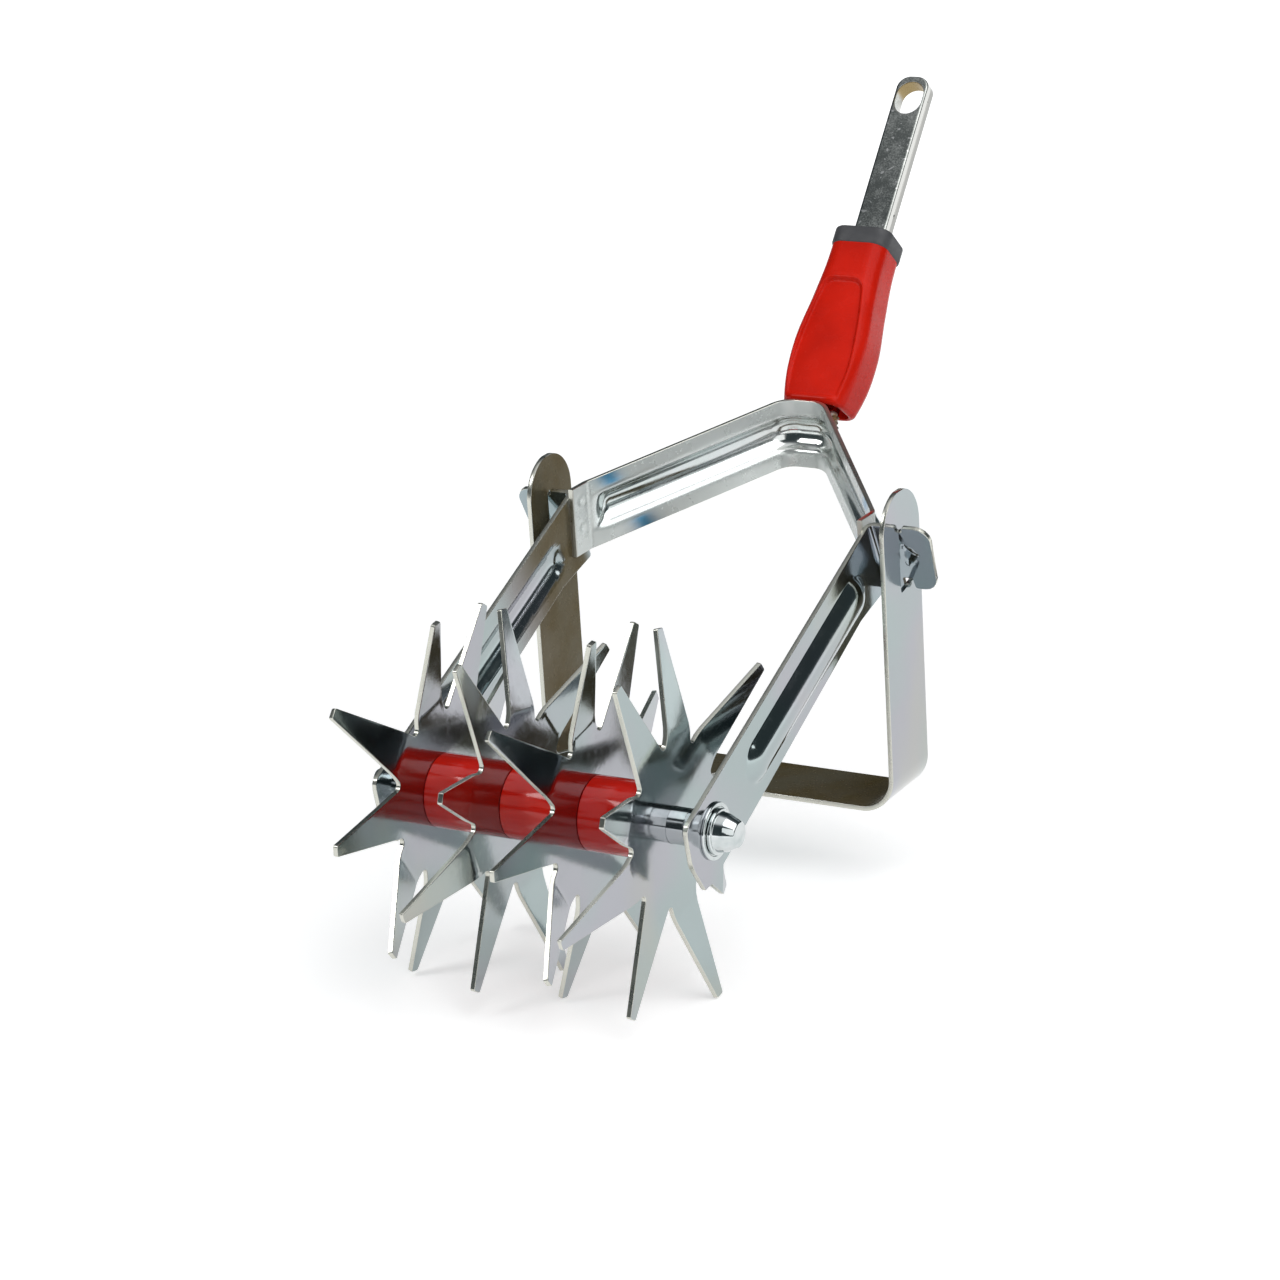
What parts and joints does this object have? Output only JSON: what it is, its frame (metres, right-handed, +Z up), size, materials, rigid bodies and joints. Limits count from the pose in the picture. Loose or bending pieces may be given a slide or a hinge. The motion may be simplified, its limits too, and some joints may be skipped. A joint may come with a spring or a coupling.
{
  "type": "garden tiller head",
  "caption": "Garden tiller head: bent-spiked star discs turn on an axle between the legs of a sheet-steel yoke, with a swinging scraper stirrup and a tang for a clip-on handle.",
  "frame": {"origin": "centre of the latch hole in the tang", "axes": "+X along the axle, -Y the way the tool is pushed, +Z up with the stirrup hanging freely"},
  "size_m": [0.189, 0.4233, 0.2884],
  "materials": {
    "zinc_steel": "bright zinc plating",
    "bright_fitting": "polished",
    "tang_steel": "mottled zinc plating",
    "red_gloss": "gloss",
    "red_grip": "satin",
    "dark_collar": "satin"
  },
  "bodies": {
    "yoke": {"tang": "tang_steel", "grip": "red_grip", "grip_collar": "dark_collar", "crown": "zinc_steel", "tang_weld": "zinc_steel", "left_leg": "zinc_steel", "right_leg": "zinc_steel", "axle": "bright_fitting", "left_washer": "bright_fitting", "right_washer": "bright_fitting", "left_cap_ring": "bright_fitting", "right_cap_ring": "bright_fitting", "left_cap": "bright_fitting", "right_cap": "bright_fitting"},
    "rotor": {"star_disc_1": "zinc_steel", "star_disc_2": "zinc_steel", "star_disc_3": "zinc_steel", "star_disc_4": "zinc_steel", "spacer_tube_1": "red_gloss", "spacer_tube_2": "red_gloss", "spacer_tube_3": "red_gloss", "hub_sleeve": "bright_fitting"},
    "stirrup": {"stirrup": "zinc_steel"}
  },
  "joints": [
    {"name": "rotor_spin", "type": "hinge", "parent": "yoke", "child": "rotor", "pos_m": [0, -0.3383, -0.2044], "axis": [1, 0, 0], "continuous": true},
    {"name": "stirrup_swing", "type": "hinge", "parent": "yoke", "child": "stirrup", "pos_m": [0, -0.19594, -0.12952], "axis": [1, 0, 0], "range_deg": [0, 22]}
  ]
}
